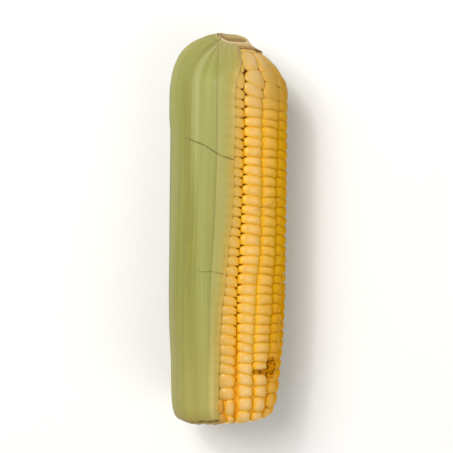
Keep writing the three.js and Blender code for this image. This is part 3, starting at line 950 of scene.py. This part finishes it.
def leaf_height(order, angle, s):
    """Height of a leaf's inner face over the crowns, raised by each leaf under it, which fades
    past that leaf's edge as this one drapes down. From the outermost leaf's edge to the window
    the leaves lie on one another, and elsewhere they are loose. Broad ripples run along all the
    leaves, and over the butt's far side they bulge away from the ear."""
    y, r = outline_at(s)
    r = np.maximum(r, 4 * mm)
    leaves_under = 0 * angle
    stack_under = 0 * angle
    for _, low_edge, high_edge, _, _ in leaves[:order]:
        past = np.radians(np.maximum(low_edge(y) - angle, angle - high_edge(y))) * r
        drape = 1 - smooth(past, 0.15 * mm, 0.15 * mm + drape_length)
        leaves_under = leaves_under + drape
        stack_under = stack_under + drape * (thickness_at(-past) + 0.02 * mm)
    from_visible = np.radians(outer_edge(y) - angle) * r
    from_hidden = np.radians(angle - hidden_edge) * r
    loose = smooth_mm(np.minimum(from_visible, from_hidden), 0, 10)
    tight_height = 0.05 * mm + 0.15 * mm * smooth_mm(y, 50, 60) + stack_under
    loose_height = leaf_stand - leaf_thickness + leaves_under * leaf_step
    off_rest = smooth(np.abs(angle - rest_angle), 16, 40)
    wave = 0.5 + 0.5 * np.sin(np.radians(ripple_count * angle) + 0.02 * y / mm)
    broad = ripple * wave * off_rest + rest_stand_off * (1 - off_rest)
    early = early_bulge * smooth_mm(y, 36, 50) * (1 - smooth(-angle, 86, 98))
    swell = early + (1 - early_bulge) * smooth_mm(y, 60, 73)
    end_loss = bulge_end_loss + 0.5 * smooth(-angle, 92, 120)
    swell = swell * (1 - end_loss * smooth_mm(y, 74, 82))
    bulge = swell * smooth(-angle, 30, 75) * (1 - smooth(-angle, 195, 230))
    return tight_height + (loose_height - tight_height) * loose + broad * loose + butt_bulge * bulge


def gather_station(order, angle):
    """Stations at which a leaf's outer face comes in to the gathering radius, by halving."""
    low = np.full_like(angle, dome_station)
    high = np.full_like(angle, outline_s[-1])
    for _ in range(24):
        middle = (low + high) / 2
        reach = outline_at(middle)[1]
        height = leaf_height(order, angle, middle) + leaf_thickness
        reach = reach + np.interp(middle, outline_s, outline_nr) * height
        outside = reach > gather_radius
        low = np.where(outside, middle, low)
        high = np.where(outside, high, middle)
    return low


gather_radius = 10.2 * mm
gather_rise = 0.67
collar_stand = 0.12 * mm
collar_thickness = 0.12 * mm
body_rows = 120
dome_rows = 64
collar_rows = 16
dome_arc = 29 * mm
tip_fade = 8 * mm
tip_curl = 0.26 * mm
corner_short = 2.2 * mm
tip_rag = 0.2 * mm
edge_hem = 0.08 * mm
vein_spacings = np.array([1.9, 3.1, 7.3]) * mm
vein_sizes = np.array([0.02, 0.035, 0.08]) * mm
fold_size = 0.22 * mm
lump_size = 0.28 * mm
leaf_droop = 0.8
column_width = 0.42 * mm
husk_radius = 27 * mm  # at which the leaves' widths are measured
column_crowding = 0.06  # share of a leaf's width by which its columns crowd to its edges
least_radius = 6 * mm
floor_gap = 0.02 * mm
leaf_map_unit = 10 * mm


def make_leaf(order):
    """A closed shell on a grid of angle by station. The outer face carries veins, as raised
    lines a few millimetres apart, and folds that gather towards the shank. The inner face lies
    a leaf's thickness below it, and the leaf thins to its edges."""
    name, low_edge, high_edge, tip_short, _ = leaves[order]
    random = np.random.RandomState(310 + order)
    layers = []
    width = np.radians(high_edge(np.array(0.0)) - low_edge(np.array(0.0))) * husk_radius
    columns = int(width / column_width)
    hem = edge_hem / width
    across = np.concatenate([[0], np.linspace(hem, 1 - hem, columns - 2), [1]])[None, :]
    across = across - column_crowding * np.sin(math.tau * across)
    body_s = np.linspace(0, dome_station, body_rows + 1)[:-1]
    dome_share = np.linspace(0, 1, dome_rows)
    row_s = np.concatenate([body_s, dome_station + dome_arc * dome_share])[:, None]
    row_y = outline_at(row_s)[0]
    angle = low_edge(row_y) + (high_edge(row_y) - low_edge(row_y)) * across

    short = tip_short * mm * smooth(angle, -80, -45)
    short = short + corner_short * order / 4 * smooth(-angle, 46, 80)
    ragged = np.sin(np.radians(23 * angle)) * np.sin(np.radians(9 * angle))
    short = short + tip_rag * (1 + order / 2) * (1 + ragged)
    s = row_s + short * np.clip(1 - row_s / tip_fade, 0, 1)
    share = np.clip((row_s - dome_station) / dome_arc, 0, 1)
    to_shank = gather_station(order, angle[-1:])
    s = np.where(row_s < dome_station, s, dome_station + (to_shank - dome_station) * share)
    curl = order + 0.25 + 0.25 * np.sin(np.radians(7 * angle + 70 * order))
    curl = curl * (1 - smooth_mm(s, 8, 30)) * (0.5 + 0.5 * smooth_mm(s, 0, 4))
    height = leaf_height(order, angle, s) + tip_curl * curl * smooth(angle, -25, -45)
    y, r = outline_at(s)

    lateral = np.radians(angle - (low_edge(row_y) + high_edge(row_y)) / 2) * husk_radius
    from_edge = np.minimum(across, 1 - across) * width
    to_window = np.radians(window_edge(y) - angle) * np.maximum(r, least_radius)
    veins = 0 * lateral
    for spacing, size in zip(vein_spacings, vein_sizes):
        drift = 0.6 * np.sin(row_y / mm * 0.021 + 5 * random.rand())
        veins = veins + size * np.sin(math.tau * lateral / spacing + drift + 6 * random.rand())
    folds = np.sin(np.radians(24 * angle) + 0.9 * np.sin(np.radians(7 * angle)))
    folds = fold_size * (folds - 1) * smooth(share, 0.25, 0.8)
    to_outer = np.radians(outer_edge(y) - angle) * np.maximum(r, least_radius)
    inside = smooth_mm(from_edge, 0, 3) * smooth_mm(np.abs(to_window), 2, 9)
    inside = inside * smooth_mm(np.abs(to_outer), 0.5, 4)
    lump = lump_under(s) + 0 * to_window
    clinging = 1 - smooth_mm(to_window, 1.5, 6)
    middle_angle = (groove_angle(-1, s) + groove_angle(0, s)) / 2
    aside = np.clip(np.abs(angle - middle_angle) / (row_pitch / 2), 0, 1)
    droop = leaf_droop * side_drop * aside**side_power * (1 - smooth_mm(to_window, 0.3, 3))
    clinging = clinging * (np.abs(to_window) < 40 * mm)
    relief = (veins + folds - 0.12 * mm) * inside - droop - lump_size * (1 - lump) * clinging
    thickness = thickness_at(from_edge) + 0 * relief
    inner_height = height + relief
    outer_r, outer_y = raised(s, inner_height + thickness)
    inner_r, inner_y = raised(s, inner_height)

    # The collar: from the gathering radius each column bends up along the shank to its rim, on
    # a curve of second degree whose middle point lies on the dome's own slope.
    bend = np.linspace(0, 1, collar_rows + 1)[1:, None]
    stand = shank_radius + collar_stand * (order + 1)
    top = np.maximum(rim_height(angle[-1:]) - 0.1 * mm * (5 - order), outer_y[-1:] + 0.5 * mm)
    for inset, r_part, y_part in ((0, outer_r, outer_y), (collar_thickness, inner_r, inner_y)):
        end_r = stand - inset
        middle_y = np.minimum(y_part[-1:] + gather_rise * (r_part[-1:] - end_r), top)
        bend_r = (1 - bend) ** 2 * r_part[-1:] + (2 * bend * (1 - bend) + bend**2) * end_r
        bend_y = (1 - bend) ** 2 * y_part[-1:] + 2 * bend * (1 - bend) * middle_y + bend**2 * top
        collar_angle = np.repeat(angle[-1:], collar_rows, axis=0)
        full_angle = np.concatenate([angle, collar_angle])
        full_s = np.concatenate([s, to_shank + bend * (4 * mm)])
        layer = round_the_ear(
            full_angle, np.concatenate([r_part, bend_r]), np.concatenate([y_part, bend_y]), full_s
        )
        layer[..., 2] = np.maximum(layer[..., 2], floor_gap)
        layers.append(layer)

    rows = len(row_s) + collar_rows
    count = rows * columns
    index = np.arange(count).reshape(rows, columns)
    under = index + count
    faces = [
        grid_faces(index),
        grid_faces(under, turned_over=True),
        grid_faces(np.stack([under[:, 0], index[:, 0]], axis=1)),
        grid_faces(np.stack([index[:, -1], under[:, -1]], axis=1)),
        grid_faces(np.stack([under[0], index[0]])),
        grid_faces(np.stack([index[-1], under[-1]])),
    ]
    made = new_object(name + "_blade", np.concatenate(layers), np.concatenate(faces).tolist())
    flat = made.data.uv_layers.new(name="leaf")
    carried = [np.repeat(part[-1:], collar_rows, axis=0) for part in (lateral, to_window)]
    full_lateral = np.concatenate([lateral, carried[0]])
    spot = np.stack([full_lateral, full_s], -1).reshape(-1, 2) / leaf_map_unit
    corners = np.empty(len(made.data.loops), dtype=np.int32)
    made.data.loops.foreach_get("vertex_index", corners)
    flat.data.foreach_set("uv", spot[corners % count].ravel().astype(np.float32))
    marks = {
        "rim": 1 - smooth_mm(from_edge + 0 * full_lateral, 0, 6),
        "to_window": np.concatenate([to_window, carried[1]]) / mm,
        "base": np.concatenate([share + 0 * angle, 1 + bend + 0 * collar_angle]),
        "turn": full_angle,
        "lump": np.concatenate([lump, 0 * collar_angle]),
    }
    keep_marks(made, {mark: np.tile(values.ravel(), 2) for mark, values in marks.items()})
    return made


def leaf_skin(order):
    """Green to pale by the leaf's tone, in long stripes, paler at the edges, yellow where the
    kernels shine through near the window, and browned at the cuts. Light and shade are painted on
    too: on the greener leaves a lighter and a darker band for broad ripples and a dark line along
    the edges; on all, darker over the -X limb and a dark fold line near the butt; and on the paler
    leaves a dark crack just under the outer leaf's cut end. Fine veins stand in relief."""
    name, _, _, _, tone = leaves[order]
    inner = 1 - tone
    finish = Finish(
        name + "_skin",
        Subsurface_Weight=0.08,
        Subsurface_Radius=(0.001, 0.001, 0.0003),
        Subsurface_Scale=1.0,
        Specular_IOR_Level=0.28,
    )
    flat = finish.node("UVMap", {"uv_map": "leaf"})
    shift = (7.3 * order, 3.1 * order, 0)
    seed = finish.node("VectorMath", {"operation": "ADD"}, {0: flat, 1: shift})
    bands = finish.noise(finish.stretched(seed, 1.3, 0.035, 0), 1.0, 3)
    stripes = finish.noise(finish.stretched(seed, 9, 0.12, 0), 1.0, 2)
    fine = finish.noise(finish.stretched(seed, 26, 0.35, 0), 1.0, 2)
    blotch = finish.noise(seed, 0.9, 3)
    speck = finish.node("TexVoronoi", None, {"Vector": seed, "Scale": 0.42})
    x = finish.axis("X") - axis.x
    y = finish.axis("Y") - axis.y
    rim = finish.attribute("rim")
    to_window = finish.attribute("to_window")
    base = finish.attribute("base")
    turn = finish.attribute("turn")

    pale = finish.mix(bands.rise(0.35, 0.65), "8e8742", "97904b")
    green = finish.mix(bands.rise(0.3, 0.7), "838138", "959650")
    warm = finish.mix(y.rise_mm(20, 50), "bc9234", "bca258")
    upper = y.rise_mm(0, 45) * tone
    seam = (1 - finish.attribute("lump")) * to_window.rise(5.0, 1.0) * inner
    straw = y.rise_mm(-40, -75) * to_window.rise(4.4, 3.0) * inner * to_window.rise(1.2, 2.6)
    # Painted shade: a dark line along one fold of the husk near the butt.
    across_fold = x + 7 * mm - (y - 75.4 * mm) * 0.63
    fold_shade = across_fold.size().rise_mm(0.7, 0.1) * turn.rise(-60, -50)
    fold_shade = fold_shade * y.rise_mm(73, 76) * y.rise_mm(82, 80)
    cut_y = y - x * tip_slant
    ragged_y = cut_y + (stripes - 0.5) * 1.5 * mm
    # Painted shade: a dark crack on the paler leaves just under the outer leaf's cut end, near the
    # tip.
    gap = ragged_y.rise_mm(-85.2, -84.9) * ragged_y.rise_mm(-83.7, -84.1)
    gap = gap * turn.rise(-5, -9) * turn.rise(-46, -34) * inner
    colour = finish.painted(
        finish.mix(tone, pale, green),
        # Painted highlight and painted shade: a lighter band near -30 and a darker one near -41
        # degrees on the upper part of the greener leaves, for broad ripples catching and losing the
        # light.
        ((turn + 30).size().rise(6, 2) * upper * 0.4, "b3b078"),
        ((turn + 41).size().rise(4, 1) * upper * 0.4, "787632"),
        (stripes.rise(0.4, 0.75) * 0.25, "a8a45c"),
        (fine.rise(0.55, 0.7) * 0.15, "787a34"),
        (blotch.rise(0.5, 0.75) * 0.25, "9d9640"),
        (rim * (0.15 - 0.1 * tone), "b3a060"),
        # Painted shadow: a dark line along the edges of the greener leaves.
        (rim.rise(0.95, 0.985) * 0.45 * tone, "767230"),
        # Painted shade: darker over the -X limb, from about -86 to -110 degrees, fading by -64 and
        # -150.
        (turn.rise(-64, -86) * turn.rise(-150, -110) * 0.45, "6a6626"),
        (to_window.rise(8.5, 1.5) * (0.55 - 0.3 * tone), "a69c58"),
        (to_window.rise(4.6, 2.0) * inner * 0.7, "ac9c48"),
        (to_window.rise(3.4, 0.0) * inner * 0.85, warm),
        (seam * 0.3, "96803a"),
        (y.rise_mm(-20, -84) * 0.5, "a89c54"),
        (straw * 0.6, "c8b070"),
        (fold_shade * 0.4, "6c6a30"),
        (base.rise(0.3, 1.0) * 0.35, "a89a58"),
        (base.rise(1.0, 1.9) * 0.8, "b8a468"),
        (y.rise_mm(-79, -86) * 0.6, "9c8444"),
        (cut_y.rise_mm(-84.8, -86.0) * 0.8, "b49058"),
        # Painted shade in the crack under the outer leaf's cut end.
        (gap * 0.9, "5a3c14"),
        (speck.rise(0.035, 0.02) * 0.6, "5a4a20"),
    )
    return finish.show(
        Base_Color=colour,
        Roughness=stripes * 0.2 + fine * 0.1 + 0.36,
        Normal=finish.bump(fine * 0.6 + stripes, 0.16 * mm, 0.7),
    )


for order, leaf in enumerate(leaves):
    blade = make_leaf(order)
    blade.data.materials.append(leaf_skin(order))
    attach(blade, "root")
    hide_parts(leaf[0])


# ---- Silk --------------------------------------------------------------------------------------
# A few stray threads of silk, all under half a millimetre thick, stuck to the husk and the
# kernels where they fell, and short, finer hairs that curl up from the ear on the bare side.

thread_sides = 6
thread_steps = 72
thread_end = 0.12  # share of a thread over which each end tapers
thread_end_size = 0.25


def lying_height(angle, y):
    """Height over the crowns of whatever is outermost on the visible side: a leaf or a kernel."""
    s = np.interp(y, outline_y, outline_s)
    height = 0 * y - 0.1 * mm
    for order in (0, 2, 4):
        low_edge, high_edge = leaves[order][1:3]
        covered = smooth(high_edge(y) - angle, -0.6, 0.6) * (angle > low_edge(y))
        outer = leaf_height(order, angle, s) + leaf_thickness - 0.1 * mm
        height = np.maximum(height, covered * outer)
    return height


def make_thread(name, angle, y, height, radius):
    """A closed tube along points on the ear, with six sides, tapering to both its ends."""
    s = np.interp(y, outline_y, outline_s)
    line = ear_surface(angle, s, height)
    ahead = np.gradient(line, axis=0)
    ahead = ahead / np.linalg.norm(ahead, axis=1, keepdims=True)
    out = line - round_the_ear(angle, 0, y, s)
    beside = np.cross(ahead, out)
    beside = beside / np.linalg.norm(beside, axis=1, keepdims=True)
    out = np.cross(beside, ahead)
    along = np.linspace(0, 1, len(y))
    taper = np.minimum(along, 1 - along) / thread_end
    taper = np.clip(taper, thread_end_size, 1)[:, None, None]
    turn = (np.arange(thread_sides) * math.tau / thread_sides)[None, :, None]
    ring = np.cos(turn) * out[:, None] + np.sin(turn) * beside[:, None]
    points = line[:, None] + radius * taper * ring
    index = np.arange(len(y) * thread_sides).reshape(len(y), thread_sides)
    return new_object(name, points, ring_faces(index, turned_over=True))


def soft_path(values, steps):
    """A smooth line of this many steps through values spaced evenly along it."""
    fine = np.interp(np.linspace(0, len(values) - 1, steps), np.arange(len(values)), values)
    return softened(fine, np.hanning(2 * (steps // (2 * len(values))) + 3)[1:-1])


def silk_finish(name, dark, light):
    """Dry silk: satin, and mottled between two colours."""
    finish = Finish(name, Specular_IOR_Level=0.4)
    mottle = finish.noise(finish.place, 400, 2)
    return finish.show(
        Base_Color=finish.mix(mottle.rise(0.35, 0.65), dark, light),
        Roughness=mottle * 0.2 + 0.4,
    )


olive_silk = silk_finish("olive_silk", "6c6424", "8a7e36")
amber_silk = silk_finish("amber_silk", "b07c1c", "c89634")
pale_silk = silk_finish("pale_silk", "c8a850", "e2cd8a")

# Each thread: name, angles in degrees, places along Y and thickness in millimetres, finish.
threads = [
    (
        "silk_on_husk",
        (-42, -36, -30, -25, -19.8, -15, -10.3, -6, -1.7, 4, 10),
        (37.2, 36.8, 35.5, 34.8, 33.6, 32.2, 30.8, 29.7, 28.9, 28.2, 27.4),
        0.45,
        olive_silk,
    ),
    ("silk_by_edge", (-27, -20, -13, -7, 0), (-20.2, -20.3, -19.9, -20.5, -21.1), 0.22, olive_silk),
    ("silk_on_kernels", (27, 36, 48, 60, 74), (5.9, 7.2, 8.6, 11.4, 13.3), 0.17, amber_silk),
]
for name, angles, places, thickness, finish in threads:
    angle = soft_path(np.array(angles, dtype=float), thread_steps)
    y = soft_path(np.array(places), thread_steps) * mm
    height = soft_path(lying_height(angle, y), thread_steps) + 0.3 * thickness * mm
    thread = make_thread(name, angle, y, height, thickness / 2 * mm)
    thread.data.materials.append(finish)
    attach(thread, "root")

hair_random = np.random.RandomState(19)
hair_number = 26
hair_steps = 14
hair_radius = 0.06 * mm
hair_room = 0.25 * mm  # that hairs keep inside the solids' box
for number in range(hair_number):
    start_angle = 64 + 26 * hair_random.rand()
    start_y = -14 - 46 * hair_random.rand()
    turn_away = 16 * (hair_random.rand() - 0.4)
    reach = 9 * (hair_random.rand() - 0.5)
    lift = 0.3 + 1.0 * hair_random.rand()
    along = np.linspace(0, 1, hair_steps)
    angle = start_angle + turn_away * along**2
    y = (start_y + reach * along + 0.6 * np.sin(along * 4 + number)) * mm
    room = cad_high.x - axis.x - hair_room - outline_at(np.interp(y, outline_y, outline_s))[1]
    height = np.minimum((-0.6 + (0.6 + lift) * np.sin(along * 2.4)) * mm, room)
    hair = make_thread(f"silk_hair_{number + 1}", angle, y, height, hair_radius)
    hair.data.materials.append(pale_silk)
    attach(hair, "root")
